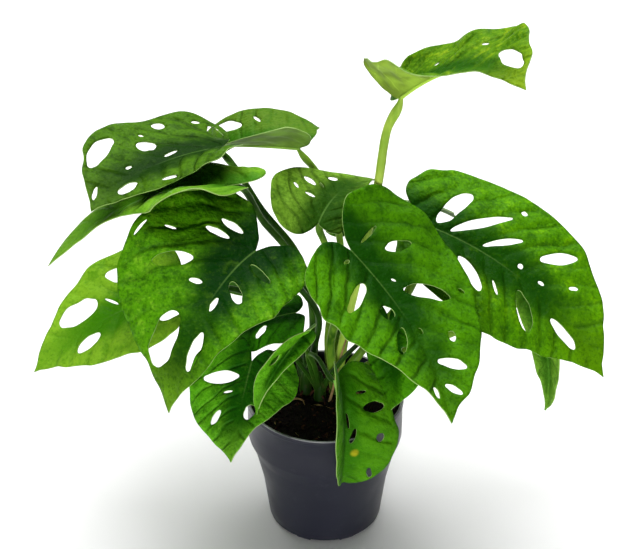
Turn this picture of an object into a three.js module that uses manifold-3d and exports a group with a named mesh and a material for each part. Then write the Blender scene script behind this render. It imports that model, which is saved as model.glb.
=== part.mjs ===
// Monstera adansonii (Swiss cheese plant) growing in its round nursery pot.
// Millimetres, +Z up. The pot stands on z = 0 and its axis is the Z axis.
// Every leaf is one thin blade with its own bend, fold and holes; the leaf
// stalks that share a root in the soil are one stem.
import * as THREE from 'three';
import { mergeVertices } from 'three/addons/utils/BufferGeometryUtils.js';
import Module from 'manifold-3d';

const wasm = await Module();
wasm.setup();

// ---------------------------------------------------------------- dimensions
const POT_HEIGHT = 112;
const LIP_RADIUS = 61;
const LIP_HEIGHT = 4;
const BAND_BOTTOM = 78; // the wide upper band of the pot starts here
const BAND_RADIUS = 60.2;
const STEP_BOTTOM = 66; // and the wall flares out to it from here
const STEP_RADIUS = 55.2;
const MIDDLE_HEIGHT = 38;
const MIDDLE_RADIUS = 49.2;
const BASE_RADIUS = 44.4;
const WALL = 1.7;
const FLOOR = 2.6;
const SLOT_COUNT = 8; // shallow slots under the foot ring
const SLOT_WIDTH = 23;
const SLOT_HEIGHT = 2.3;
const SLOT_INNER_RADIUS = 36;
const DRAIN_COUNT = 4;
const DRAIN_RADIUS = 4;
const DRAIN_CIRCLE = 26;
const POT_SIDES = 44;

const SOIL_TOP = 105;
const SOIL_EDGE = 103.4;
const GAP = 0.3; // clearance between touching pieces
const STEM_RADIUS = 5;
const STEM_DEPTH = 18;
const STEM_SIDES = 12;

const BLADE = 0.7; // blade thickness
const RIB = 0.9; // extra thickness under the midrib at the base of the leaf
const RIB_REACH = 4; // half width of the thickened strip
const EDGE_STEP = 8.5; // spacing of points along a leaf's margin
const GRID_STEP = 14; // spacing of points inside a blade
const SPINE_STEPS = 24;

const STALK_SIDES = 7;
const STALK_STEP = 15; // spacing of the rings along a stalk

const rad = THREE.MathUtils.degToRad;

// Half outline of a leaf: share of the length (share of the lobe when
// negative) against share of the half width, from the base to the tip.
const HALF_OUTLINE = [
  [0, 0], [-0.55, 0.1], [-1, 0.34], [-0.85, 0.66], [-0.28, 0.9], [0.13, 1],
  [0.3, 0.985], [0.46, 0.87], [0.62, 0.67], [0.76, 0.44], [0.87, 0.22],
  [0.945, 0.075], [1, 0],
];

// Each pair gives the value at the base and at the tip of the leaf (heading,
// pitch, roll) or for its left and right half (width, lobe, curl, waist).
// fold: degrees that the left half rises at base and tip, then the right half.
// ear: how far the lobes' outer part reaches back past their round end.
// wave: swing of the left and right margin, its period and its start.
// holes: [u1, v1, u2, v2, width] slits, u along the midrib, v across it.
const LEAVES = [
  {
    name: 'leaf_front_left', stem: 'stem_left', base: [-49, -37, 263],
    heading: [241, 231], pitch: [7, -78], roll: [-23, 8], length: 143,
    width: [45, 77], lobe: [24, 29], fold: [8, 0, 10, 0], curl: [-17, -12],
    nape: 20, waist: [0.15, -0.1],
    via: [[-9, 4, 150], [-5, -3, 185], [-18, -12, 215], [-36, -28, 243]],
    holes: [
      [13, -36, 9, -19, 6], [0, -33, -4, -16, 8], [51, -52, 38, -28, 10],
      [39, 5, 52, 19, 8], [17, 7, 24, 26, 7], [76, -18, 115, -19, 21],
      [82, 7, 109, 8, 9],
    ],
  },
  {
    name: 'leaf_front_right', stem: 'stem_right', base: [18, -35, 262],
    heading: [-27, -82], pitch: [-40, -25], roll: [9, -21], length: 146,
    width: [70, 63], lobe: [30, 18], fold: [13, 12, 12, 16],
    curl: [-17, -14], nape: 14, via: [[4, 2, 157], [12, -16, 207]],
    holes: [
      [37, -44, 25, -15, 11], [50, -20, 55, -8, 12], [68, -10, 89, -25, 8],
      [15, 22, 22, 42, 7], [44, 12, 62, 40, 11], [82, 25, 89, 23, 6],
      [99, 5, 107, 24, 8], [117, 3, 125, 13, 6], [120, -11, 129, -10, 6],
    ],
  },
  {
    name: 'leaf_far_right', stem: 'stem_right', base: [83, 32, 241],
    heading: [-13, -34], pitch: [-18, -53], roll: [21, 35], length: 172,
    width: [64, 62], lobe: [32, 25], fold: [14, 8, 14, 6],
    curl: [-28, -8], nape: 0, waist: [-0.12, -0.08], via: [[34, 18, 149], [62, 24, 188], [74, 30, 218]],
    holes: [
      [-1, 6, 14, 41, 12], [11, 4, 45, 38, 7], [37, 5, 59, 26, 5],
      [77, 22, 96, 43, 8], [24, -17, 51, -33, 12], [77, -11, 103, -30, 13],
      [111, -8, 140, -8, 9],
    ],
  },
  {
    name: 'leaf_low_left', stem: 'stem_left', base: [-122, 1, 203],
    heading: [190, 192], pitch: [-16, -44], roll: [-15, -17], length: 116,
    width: [47, 53], lobe: [20, 20], fold: [10, 4, 14, 8], curl: [-10, -10],
    nape: 10, via: [[-26, 30, 140], [-48, 46, 168], [-84, 32, 190]],
    holes: [
      [35, -35, 16, -25, 12], [80, -18, 48, -17, 19], [74, 16, 53, 12, 12],
      [5, 25, -14, 24, 13],
    ],
  },
  {
    name: 'leaf_top', stem: 'stem_right', base: [51, 20, 354],
    heading: [-42, -77], pitch: [46, 1], roll: [-9, 14], length: 163,
    width: [43, 39], lobe: [18, 5], fold: [43, 20, 62, -9],
    curl: [5, 30], nape: -18, unfold: 5.5, waist: [-0.45, 0.68],
    wave: [2, 5, 74, 22.5],
    via: [[15, 15, 157], [27, 19, 222], [38, 19, 285], [44, 20, 330]],
    holes: [[101, 16, 137, 9, 12]],
  },
  {
    name: 'leaf_upper_left', stem: 'stem_back_left', base: [-75, 36, 308],
    heading: [192, 252], pitch: [-4, -6], roll: [12, -13], length: 122,
    width: [50, 66], lobe: [12, 8], fold: [12, 12, -2, 16], curl: [0, 0],
    nape: 0, unfold: 3, wave: [0, 5.5, 72, -9],
    via: [[-8, 30, 142], [-11, 34, 186], [-23, 38, 219], [-48, 40, 254], [-66, 39, 288]],
    holes: [
      [90, -24, 62, -40, 12], [33, -48, 27, -49, 11], [52, -25, 40, -23, 14],
      [11, -49, 9, -46, 5], [97, 9, 79, 10, 11], [67, 27, 57, 37, 6],
      [1, -48, -1, -25, 9],
    ],
  },
  {
    name: 'leaf_upper_back', stem: 'stem_back_right', base: [-18, 65, 293],
    heading: [163, 107], pitch: [-4, -40], roll: [18, -46], length: 141,
    width: [44, 47], lobe: [12, 5], fold: [35, 10, 27, 26], curl: [-16, -30],
    nape: 0,
    via: [[10, 35, 176], [12, 42, 217], [7, 48, 244], [3, 54, 256], [-7, 62, 274]],
    holes: [[99, -18, 66, -18, 10]],
  },
  {
    name: 'leaf_center', stem: 'stem_back_right', base: [-5, -3, 266],
    heading: [70, 39], pitch: [25, -23], roll: [29, -22], length: 82,
    width: [44, 20], lobe: [18, 3], fold: [11, 8, 9, 10], curl: [-6, -6],
    nape: 0, via: [[2, 24, 144], [5, 12, 200], [0, 4, 243]],
    holes: [[31, 28, 28, 17, 5], [43, 16, 48, 11, 6]],
  },
  {
    name: 'leaf_arched_left', stem: 'stem_back_left', base: [-72, -14, 302],
    heading: [172, 210], pitch: [-1, -43], roll: [0, 14], length: 142,
    width: [42, 44], lobe: [20, 26], fold: [31, -12, 17, 5],
    curl: [-15, -45], nape: 0, waist: [0.5, 0.3], wave: [4, 4, 70, 79.5],
    via: [[-11, 29, 178], [-28, 27, 225], [-46, 24, 252], [-60, 12, 286]],
    holes: [[34, -14, 48, -24, 7], [66, -12, 82, -19, 6]],
  },
  {
    name: 'leaf_over_rim_left', stem: 'stem_front', base: [-54, -37, 169],
    heading: [257, 261], pitch: [-24, -34], roll: [-2, 38], length: 81,
    width: [38, 47], lobe: [12, 20], fold: [-5, 10, 0, 7], curl: [-30, -20],
    nape: 10, waist: [0.15, -0.1], via: [[-17, -2, 138], [-31, -12, 161]],
    holes: [[16, -34, 14, -7, 9], [41, -16, 51, -22, 6], [37, 8, 49, 8, 9]],
  },
  {
    name: 'leaf_folded_small', stem: 'stem_front', base: [-17, -52, 201],
    heading: [227, 217], pitch: [-22, -72], roll: [-83, -21], length: 67,
    width: [10, 20], lobe: [8, 10], fold: [70, 70, 50, 35], curl: [0, 0],
    nape: 0, via: [[-8, -4, 140], [-14, -20, 166]],
    holes: [[30, -10, 22, -11, 5]],
  },
  {
    name: 'leaf_hanging_right', stem: 'stem_right', base: [160, 44, 176],
    heading: [-64, -70], pitch: [-35, -104], roll: [80, 56], length: 102,
    width: [30, 16], lobe: [12, 12], fold: [33, 33, 70, 80], curl: [0, 0],
    nape: 0, via: [[39, 20, 128], [78, 28, 140], [118, 37, 154], [142, 42, 164]],
    holes: [],
  },
  {
    name: 'leaf_over_rim_right', stem: 'stem_front', base: [8, -62, 171],
    heading: [-71, -94], pitch: [-45, -141], roll: [-26, 2], length: 113,
    width: [42, 22], lobe: [10, 10], fold: [12, 14, 62, 72],
    curl: [-24, -34], nape: 0, waist: [-0.3, 0],
    via: [[-11, -3, 138], [-13, -13, 158], [-5, -38, 171]],
    holes: [
      [25, 17, 27, 35, 8], [49, 25, 51, 31, 7], [76, 22, 89, 24, 4],
      [50, 5, 39, 9, 4],
    ],
  },
  {
    name: 'leaf_under_right', stem: 'stem_front', base: [45, -45, 211],
    heading: [-87, -87], pitch: [-40, -86], roll: [19, 52], length: 68,
    width: [40, 20], lobe: [14, 14], fold: [8, 6, 7, 4], curl: [-15, -17],
    nape: 0, via: [[12, -10, 150], [33, -30, 188]],
    holes: [[22, 10, 30, 24, 6]],
  },
  {
    name: 'leaf_inner_left', stem: 'stem_left', base: [-23, 8, 182],
    heading: [186, 204], pitch: [-6, -40], roll: [-6, -2], length: 78,
    width: [30, 26], lobe: [7, 7], fold: [5, 0, 5, 0], curl: [-15, -15],
    nape: 5, via: [[-16, 12, 150]],
    holes: [[24, 7, 34, 16, 6], [22, -8, 32, -18, 6]],
  },
  {
    name: 'leaf_back_right', stem: 'stem_back_right', base: [31, 60, 228],
    heading: [50, 21], pitch: [12, -43], roll: [-22, -11], length: 105,
    width: [40, 42], lobe: [20, 20], fold: [10, 5, 10, 5],
    curl: [-15, -15], nape: 5, via: [[14, 36, 165], [24, 50, 200]],
    holes: [
      [24, 10, 34, 24, 7], [50, 8, 60, 19, 7], [26, -10, 36, -25, 7],
      [52, -8, 62, -18, 6],
    ],
  },
  {
    name: 'leaf_back_left', stem: 'stem_back_left', base: [-50, 88, 158],
    heading: [116, 132], pitch: [4, -52], roll: [8, 2], length: 110,
    width: [42, 40], lobe: [20, 20], fold: [10, 5, 10, 5],
    curl: [-15, -15], nape: 5, via: [[-16, 40, 132], [-32, 66, 146]],
    holes: [
      [24, 10, 35, 25, 7], [52, 9, 64, 20, 7], [27, -10, 38, -25, 7],
      [56, -8, 68, -18, 6],
    ],
  },
];

// Where each stem stands in the soil, and the radius of its leaf stalks at
// the foot and at the blade.
const STEMS = {
  stem_left: { foot: [-15, 12], thick: 2.9, thin: 2.2 },
  stem_right: { foot: [8, 12], thick: 3.6, thin: 3.3 },
  stem_back_left: { foot: [-12, 27], thick: 3, thin: 2.4 },
  stem_back_right: { foot: [5, 27], thick: 3, thin: 2.5 },
  stem_front: { foot: [-4, 4], thick: 2.6, thin: 1.6 },
};

// ----------------------------------------------------------------- materials
function standard(color, roughness) {
  return new THREE.MeshStandardMaterial({ color, roughness, metalness: 0 });
}
const potPlastic = standard(0x33353d, 0.5);
const soilMix = standard(0x1b120c, 0.95);
const stemGreen = standard(0x5d8a2c, 0.5);
const LEAF_GREENS = {
  leaf_top: 0x6fa522,
  leaf_low_left: 0x5c9b1f,
  leaf_upper_left: 0x35660f,
  leaf_center: 0x3f6f14,
};
const leafGreen = 0x3f7f10;

// ------------------------------------------------------------- leaf surfaces
function direction(heading, pitch) {
  return new THREE.Vector3(
    Math.cos(pitch) * Math.cos(heading),
    Math.cos(pitch) * Math.sin(heading),
    Math.sin(pitch),
  );
}

function between(pair, t) {
  return pair[0] + (pair[1] - pair[0]) * t;
}

// Points and axes along a midrib: tangent, side (to the left) and normal.
function spineOf(leaf) {
  const stations = [];
  const point = new THREE.Vector3(...leaf.base);
  for (let i = 0; i <= SPINE_STEPS; i += 1) {
    const t = i / SPINE_STEPS;
    const heading = rad(between(leaf.heading, t));
    const tangent = direction(heading, rad(between(leaf.pitch, t)));
    const level = new THREE.Vector3(-Math.sin(heading), Math.cos(heading), 0);
    const up = tangent.clone().cross(level);
    const roll = rad(between(leaf.roll, t));
    const side = level.clone().multiplyScalar(Math.cos(roll));
    side.addScaledVector(up, Math.sin(roll));
    const normal = up.clone().multiplyScalar(Math.cos(roll));
    normal.addScaledVector(level, -Math.sin(roll));
    stations.push({ point: point.clone(), tangent, side, normal });
    const middle = (i + 0.5) / SPINE_STEPS;
    const step = direction(rad(between(leaf.heading, middle)), rad(between(leaf.pitch, middle)));
    point.addScaledVector(step, leaf.length / SPINE_STEPS);
  }
  return stations;
}

// The point of the blade's middle face at u along the midrib, v across it.
function bladePoint(leaf, u, v, half) {
  const t = THREE.MathUtils.clamp(u / leaf.length, 0, 1);
  const x = t * SPINE_STEPS;
  const i = Math.min(Math.floor(x), SPINE_STEPS - 1);
  const a = leaf.spine[i];
  const b = leaf.spine[i + 1];
  const point = a.point.clone().lerp(b.point, x - i);
  const side = a.side.clone().lerp(b.side, x - i).normalize();
  const normal = a.normal.clone().lerp(b.normal, x - i).normalize();
  const tangent = a.tangent.clone().lerp(b.tangent, x - i);

  const opened = 1 - (1 - t) ** (leaf.unfold ?? 1);
  const rise = rad(between(leaf.fold.slice(half * 2, half * 2 + 2), opened));
  const turn = rad(leaf.curl[half] || 0.001) / leaf.width[half];
  const end = rise + turn * Math.abs(v);
  const across = (Math.sin(end) - Math.sin(rise)) / turn;
  const lift = -(Math.cos(end) - Math.cos(rise)) / turn;
  point.addScaledVector(side, half === 0 ? across : -across);
  point.addScaledVector(normal, lift);
  if (leaf.wave) {
    const [period, start] = leaf.wave.slice(2);
    const height = leaf.wave[half] * (Math.abs(v) / leaf.width[half]) ** 1.5;
    const swing = height * Math.sin((2 * Math.PI * (u - start)) / period);
    point.addScaledVector(normal, swing * Math.cos(end));
    point.addScaledVector(side, swing * (half === 0 ? -1 : 1) * Math.sin(end));
  }

  const over = u - t * leaf.length;
  if (over < 0 && leaf.nape) {
    const bend = rad(leaf.nape) / Math.max(...leaf.lobe);
    point.addScaledVector(tangent, -Math.sin(-bend * over) / bend);
    point.addScaledVector(normal, (1 - Math.cos(bend * over)) / bend);
  } else {
    point.addScaledVector(tangent, over);
  }
  return point;
}

function bladeNormal(leaf, u, v) {
  const sum = new THREE.Vector3();
  const halves = v === 0 ? [0, 1] : [v > 0 ? 0 : 1];
  const h = 0.05;
  for (const half of halves) {
    const sign = half === 0 ? 1 : -1;
    const size = Math.abs(v) + h;
    const along = bladePoint(leaf, u + h, v, half).sub(bladePoint(leaf, u - h, v, half));
    const outward = bladePoint(leaf, u, sign * size, half);
    outward.sub(bladePoint(leaf, u, v, half)).multiplyScalar(sign);
    sum.add(along.cross(outward).normalize());
  }
  return sum.normalize();
}

// ------------------------------------------------------- outline of one leaf
function halfOutline(leaf, half) {
  const points = HALF_OUTLINE.map(([u, v]) => {
    const reach = THREE.MathUtils.clamp((u - 0.3) / 0.7, 0, 1);
    const narrow = 1 - (leaf.waist?.[half] ?? 0) * Math.sin(Math.PI * reach);
    const back = leaf.lobe[half] * (1 + (leaf.ear ?? 0) * v);
    const along = u < 0 ? u * back : u * leaf.length;
    return new THREE.Vector2(along, (half === 0 ? v : -v) * leaf.width[half] * narrow);
  });
  const curve = new THREE.SplineCurve(points);
  const count = Math.round(curve.getLength() / EDGE_STEP);
  return curve.getSpacedPoints(count).map((p) => [p.x, p.y]);
}

function leafOutline(leaf) {
  const left = halfOutline(leaf, 0);
  const right = halfOutline(leaf, 1).reverse();
  left[0] = [0, 0];
  left[left.length - 1] = [leaf.length, 0];
  return left.concat(right.slice(1, -1));
}

function slit([u1, v1, u2, v2, width]) {
  const length = Math.hypot(u2 - u1, v2 - v1);
  const ex = (u2 - u1) / length;
  const ey = (v2 - v1) / length;
  const count = length > 22 ? 12 : 8;
  const ring = [];
  for (let i = 0; i < count; i += 1) {
    const a = (2 * Math.PI * i) / count;
    const p = (Math.sign(Math.cos(a)) * Math.abs(Math.cos(a)) ** 0.75 * length) / 2;
    const q = (Math.sign(Math.sin(a)) * Math.abs(Math.sin(a)) ** 0.75 * width) / 2;
    ring.push([(u1 + u2) / 2 + ex * p - ey * q, (v1 + v2) / 2 + ey * p + ex * q]);
  }
  return ring;
}

function isInside([x, y], ring) {
  let inside = false;
  for (let i = 0, j = ring.length - 1; i < ring.length; j = i, i += 1) {
    const [xi, yi] = ring[i];
    const [xj, yj] = ring[j];
    if (yi > y !== yj > y && x < ((xj - xi) * (y - yi)) / (yj - yi) + xi) {
      inside = !inside;
    }
  }
  return inside;
}

function segmentDistance([x, y], [ax, ay], [bx, by]) {
  const dx = bx - ax;
  const dy = by - ay;
  const t = THREE.MathUtils.clamp(((x - ax) * dx + (y - ay) * dy) / (dx * dx + dy * dy), 0, 1);
  return Math.hypot(x - ax - t * dx, y - ay - t * dy);
}

// ------------------------------------------------------------- triangulation
function circumcircle(points, a, b, c) {
  const [ax, ay] = points[a];
  const bx = points[b][0] - ax;
  const by = points[b][1] - ay;
  const cx = points[c][0] - ax;
  const cy = points[c][1] - ay;
  const d = 2 * (bx * cy - by * cx);
  const ux = (cy * (bx * bx + by * by) - by * (cx * cx + cy * cy)) / d;
  const uy = (bx * (cx * cx + cy * cy) - cx * (bx * bx + by * by)) / d;
  return { a, b, c, x: ax + ux, y: ay + uy, r2: ux * ux + uy * uy };
}

// Delaunay triangles of a set of points, one point inserted at a time.
function triangulate(input) {
  const points = input.concat([[-2000, -1500], [2100, -1600], [40, 2500]]);
  const n = input.length;
  let triangles = [circumcircle(points, n, n + 1, n + 2)];
  for (let i = 0; i < n; i += 1) {
    const [x, y] = points[i];
    const edges = new Map();
    const kept = [];
    for (const t of triangles) {
      if ((x - t.x) ** 2 + (y - t.y) ** 2 >= t.r2 - 1e-7) {
        kept.push(t);
        continue;
      }
      for (const [p, q] of [[t.a, t.b], [t.b, t.c], [t.c, t.a]]) {
        if (edges.has(`${q},${p}`)) {
          edges.delete(`${q},${p}`);
        } else {
          edges.set(`${p},${q}`, [p, q]);
        }
      }
    }
    for (const [p, q] of edges.values()) {
      kept.push(circumcircle(points, p, q, i));
    }
    triangles = kept;
  }
  return triangles.filter((t) => t.a < n && t.b < n && t.c < n).map((t) => [t.a, t.b, t.c]);
}

// Points of a blade and its triangles, with every margin edge kept.
function bladeMesh(leaf) {
  const outline = leafOutline(leaf);
  const holes = leaf.holes.map(slit);
  const points = [];
  let segments = [];
  for (const ring of [outline, ...holes]) {
    const first = points.length;
    ring.forEach((p, i) => {
      points.push(p);
      segments.push([first + i, first + ((i + 1) % ring.length)]);
    });
  }
  const tip = outline.findIndex((p) => p[0] === leaf.length);
  const ribs = Math.round(leaf.length / 10);
  let previous = 0;
  for (let i = 1; i <= ribs; i += 1) {
    const next = i === ribs ? tip : points.length;
    if (i < ribs) {
      points.push([(leaf.length * i) / ribs, 0]);
    }
    segments.push([previous, next]);
    previous = next;
  }
  const reach = Math.max(...leaf.width);
  for (let row = 0; row * GRID_STEP * 0.87 < reach * 2; row += 1) {
    for (let u = -40 + (row % 2) * GRID_STEP * 0.5; u < leaf.length; u += GRID_STEP) {
      const p = [u, -reach + row * GRID_STEP * 0.87];
      const clear = segments.every(([a, b]) => segmentDistance(p, points[a], points[b]) > 5.5);
      if (clear && isInside(p, outline) && !holes.some((ring) => isInside(p, ring))) {
        points.push(p);
      }
    }
  }
  let triangles = triangulate(points);
  for (let round = 0; round < 6; round += 1) {
    const present = new Set();
    for (const [a, b, c] of triangles) {
      for (const [p, q] of [[a, b], [b, c], [c, a]]) {
        present.add(p < q ? `${p},${q}` : `${q},${p}`);
      }
    }
    const missing = segments.filter(([p, q]) => !present.has(p < q ? `${p},${q}` : `${q},${p}`));
    if (missing.length === 0) {
      break;
    }
    segments = segments.filter((s) => !missing.includes(s));
    for (const [p, q] of missing) {
      const middle = points.length;
      points.push([(points[p][0] + points[q][0]) / 2, (points[p][1] + points[q][1]) / 2]);
      segments.push([p, middle], [middle, q]);
    }
    triangles = triangulate(points);
  }
  triangles = triangles.filter(([a, b, c]) => {
    const u = (points[a][0] + points[b][0] + points[c][0]) / 3;
    const v = (points[a][1] + points[b][1] + points[c][1]) / 3;
    return isInside([u, v], outline) && !holes.some((ring) => isInside([u, v], ring));
  });
  return { points, triangles };
}

// One leaf as a closed thin solid: upper face, lower face and margin.
function leafGeometry(leaf) {
  const { points, triangles } = bladeMesh(leaf);
  const used = [...new Set(triangles.flat())];
  const index = new Map(used.map((p, i) => [p, i]));
  const count = used.length;
  const upper = [];
  const lower = [];
  for (const p of used) {
    const [u, v] = points[p];
    const snapped = Math.abs(v) < 1e-9 ? 0 : v;
    const middle = bladePoint(leaf, u, snapped, snapped < 0 ? 1 : 0);
    const normal = bladeNormal(leaf, u, snapped);
    const taper = THREE.MathUtils.clamp(1 - u / leaf.length, 0, 1);
    const rib = Math.max(0, 1 - Math.abs(v) / RIB_REACH) * RIB * taper * (u < -0.01 ? 0 : 1);
    upper.push(...middle.clone().addScaledVector(normal, BLADE / 2).toArray());
    lower.push(...middle.addScaledVector(normal, -BLADE / 2 - rib).toArray());
  }
  const faces = [];
  const open = new Map();
  for (const [a, b, c] of triangles.map((t) => t.map((p) => index.get(p)))) {
    faces.push(a, b, c, a + count, c + count, b + count);
    for (const [p, q] of [[a, b], [b, c], [c, a]]) {
      if (open.has(`${q},${p}`)) {
        open.delete(`${q},${p}`);
      } else {
        open.set(`${p},${q}`, [p, q]);
      }
    }
  }
  for (const [p, q] of open.values()) {
    faces.push(p, q + count, q, p, p + count, q + count);
  }
  return bufferGeometry(upper.concat(lower), faces);
}

// ------------------------------------------------------------------- helpers
function bufferGeometry(positions, faces) {
  const geometry = new THREE.BufferGeometry();
  geometry.setAttribute('position', new THREE.Float32BufferAttribute(positions, 3));
  geometry.setIndex(faces);
  geometry.computeVertexNormals();
  return geometry;
}

// A closed geometry as a solid for cutting and joining.
function solidOf(source) {
  const bare = source.clone();
  bare.deleteAttribute('normal');
  bare.deleteAttribute('uv');
  const merged = mergeVertices(bare, 1e-4);
  const corners = merged.index.array;
  const triVerts = [];
  for (let i = 0; i < corners.length; i += 3) {
    const [a, b, c] = corners.slice(i, i + 3);
    if (a !== b && b !== c && c !== a) {
      triVerts.push(a, b, c);
    }
  }
  return new wasm.Manifold(new wasm.Mesh({
    numProp: 3,
    vertProperties: new Float32Array(merged.attributes.position.array),
    triVerts: new Uint32Array(triVerts),
  }));
}

function geometryOf(solid) {
  const mesh = solid.getMesh();
  const positions = [];
  for (let i = 0; i < mesh.numVert; i += 1) {
    const at = i * mesh.numProp;
    positions.push(...mesh.vertProperties.slice(at, at + 3));
  }
  return bufferGeometry(positions, Array.from(mesh.triVerts));
}

// A turned solid about the Z axis; the profile runs from axis to axis.
function turned(profile, sides) {
  const geometry = new THREE.LatheGeometry(profile.map(([r, z]) => new THREE.Vector2(r, z)), sides);
  geometry.rotateX(Math.PI / 2);
  return geometry;
}

// ----------------------------------------------------------------------- pot
function wallRadius(z) {
  const marks = [
    [0, BASE_RADIUS], [MIDDLE_HEIGHT, MIDDLE_RADIUS], [STEP_BOTTOM, STEP_RADIUS],
    [BAND_BOTTOM, BAND_RADIUS], [POT_HEIGHT, LIP_RADIUS - 0.6],
  ];
  const i = Math.max(1, marks.findIndex(([height]) => height >= z));
  const [z0, r0] = marks[i - 1];
  const [z1, r1] = marks[i];
  return r0 + ((r1 - r0) * (z - z0)) / (z1 - z0);
}

function potGeometry() {
  const inner = (z) => [wallRadius(z) - WALL, z];
  const profile = [
    [0, 0],
    [BASE_RADIUS - 1.6, 0],
    [BASE_RADIUS - 0.4, 0.5],
    [wallRadius(2), 2],
    [MIDDLE_RADIUS, MIDDLE_HEIGHT],
    [STEP_RADIUS, STEP_BOTTOM],
    [BAND_RADIUS, BAND_BOTTOM],
    [wallRadius(POT_HEIGHT - LIP_HEIGHT), POT_HEIGHT - LIP_HEIGHT],
    [LIP_RADIUS, POT_HEIGHT - LIP_HEIGHT + 0.5],
    [LIP_RADIUS, POT_HEIGHT - 0.5],
    [LIP_RADIUS - 0.5, POT_HEIGHT],
    [LIP_RADIUS - 0.6 - WALL, POT_HEIGHT],
    inner(BAND_BOTTOM),
    inner(STEP_BOTTOM),
    inner(MIDDLE_HEIGHT),
    inner(FLOOR),
    [0, FLOOR],
  ];
  let pot = solidOf(turned(profile, POT_SIDES));
  const depth = BASE_RADIUS + 4 - SLOT_INNER_RADIUS;
  for (let i = 0; i < SLOT_COUNT; i += 1) {
    const slot = new THREE.BoxGeometry(SLOT_WIDTH, depth, SLOT_HEIGHT * 2);
    slot.translate(0, -SLOT_INNER_RADIUS - depth / 2, 0);
    slot.rotateZ((2 * Math.PI * i) / SLOT_COUNT);
    pot = pot.subtract(solidOf(slot));
  }
  for (let i = 0; i < DRAIN_COUNT; i += 1) {
    const drain = new THREE.CylinderGeometry(DRAIN_RADIUS, DRAIN_RADIUS, FLOOR * 4, 10);
    drain.rotateX(Math.PI / 2);
    const angle = (2 * Math.PI * (i + 0.5)) / DRAIN_COUNT;
    drain.translate(DRAIN_CIRCLE * Math.cos(angle), DRAIN_CIRCLE * Math.sin(angle), 0);
    pot = pot.subtract(solidOf(drain));
  }
  return geometryOf(pot);
}

function soilGeometry() {
  const side = (z) => [wallRadius(z) - WALL - GAP, z];
  const bottom = FLOOR + GAP;
  const profile = [
    [0, bottom], side(bottom), side(MIDDLE_HEIGHT), side(STEP_BOTTOM), side(BAND_BOTTOM),
    side(SOIL_EDGE), [wallRadius(SOIL_EDGE) - 12, SOIL_TOP], [0, SOIL_TOP],
  ];
  let soil = solidOf(turned(profile, POT_SIDES));
  for (const { foot } of Object.values(STEMS)) {
    const hole = new THREE.CylinderGeometry(
      STEM_RADIUS + GAP, STEM_RADIUS + GAP, STEM_DEPTH * 2 + GAP * 2, STEM_SIDES,
    );
    hole.rotateX(Math.PI / 2);
    hole.translate(foot[0], foot[1], SOIL_TOP);
    soil = soil.subtract(solidOf(hole));
  }
  return geometryOf(soil);
}

// --------------------------------------------------------------------- stems
// A tapering round stalk through the given points, closed at both ends.
function stalkGeometry(points, thick, thin) {
  const curve = new THREE.CatmullRomCurve3(points);
  const steps = Math.max(8, Math.round(curve.getLength() / STALK_STEP));
  const frames = curve.computeFrenetFrames(steps, false);
  const positions = [];
  const faces = [];
  for (let i = 0; i <= steps; i += 1) {
    const t = i / steps;
    const center = curve.getPointAt(t);
    const radius = thick + (thin - thick) * Math.sqrt(t);
    for (let j = 0; j < STALK_SIDES; j += 1) {
      const a = (2 * Math.PI * j) / STALK_SIDES;
      const p = center.clone().addScaledVector(frames.normals[i], radius * Math.cos(a));
      positions.push(...p.addScaledVector(frames.binormals[i], radius * Math.sin(a)).toArray());
    }
  }
  const last = steps * STALK_SIDES;
  for (let j = 0; j < STALK_SIDES; j += 1) {
    const k = (j + 1) % STALK_SIDES;
    for (let i = 0; i < last; i += STALK_SIDES) {
      faces.push(i + j, i + k, i + STALK_SIDES + k, i + j, i + STALK_SIDES + k, i + STALK_SIDES + j);
    }
    if (j > 0 && k > 0) {
      faces.push(0, k, j, last, last + j, last + k);
    }
  }
  return bufferGeometry(positions, faces);
}

// The end of a stalk sits just under the blade, at the base of the midrib.
function stalkEnd(leaf, radius) {
  const at = 3;
  const normal = bladeNormal(leaf, at, 0);
  const blade = bladePoint(leaf, at, 0, 0);
  const tangent = leaf.spine[0].tangent;
  const incoming = blade.clone().sub(new THREE.Vector3(...leaf.via.at(-1))).normalize();
  const arrive = normal.clone().multiplyScalar(0.8).addScaledVector(tangent, 0.6);
  arrive.addScaledVector(incoming, 1.5).normalize();
  const tilt = Math.acos(THREE.MathUtils.clamp(arrive.dot(normal), -1, 1));
  const below = BLADE / 2 + RIB + GAP + radius * Math.sin(tilt);
  const end = blade.addScaledVector(normal, -below);
  return [end.clone().addScaledVector(arrive, -6), end];
}

function stemGeometry(name) {
  const { foot, thick, thin } = STEMS[name];
  const [x, y] = foot;
  const bottom = SOIL_TOP - STEM_DEPTH;
  const root = new THREE.CylinderGeometry(
    STEM_RADIUS, STEM_RADIUS, STEM_DEPTH + 4, STEM_SIDES,
  );
  root.rotateX(Math.PI / 2);
  root.translate(x, y, bottom + (STEM_DEPTH + 4) / 2);
  let stem = solidOf(root);
  for (const leaf of LEAVES.filter((item) => item.stem === name)) {
    const points = [
      new THREE.Vector3(x, y, bottom + 6),
      new THREE.Vector3(x, y, SOIL_TOP + 3),
      ...leaf.via.map((p) => new THREE.Vector3(...p)),
      ...stalkEnd(leaf, thin),
    ];
    stem = stem.add(solidOf(stalkGeometry(points, thick, thin)));
  }
  return geometryOf(stem);
}

// ------------------------------------------------------------------ assembly
const plant = new THREE.Group();

function place(name, geometry, material) {
  const mesh = new THREE.Mesh(geometry, material);
  mesh.name = name;
  plant.add(mesh);
}

for (const leaf of LEAVES) {
  leaf.spine = spineOf(leaf);
}

place('pot', potGeometry(), potPlastic);
place('soil', soilGeometry(), soilMix);
for (const name of Object.keys(STEMS)) {
  place(name, stemGeometry(name), stemGreen);
}
for (const leaf of LEAVES) {
  place(leaf.name, leafGeometry(leaf), standard(LEAF_GREENS[leaf.name] ?? leafGreen, 0.42));
}

export default plant;
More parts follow.
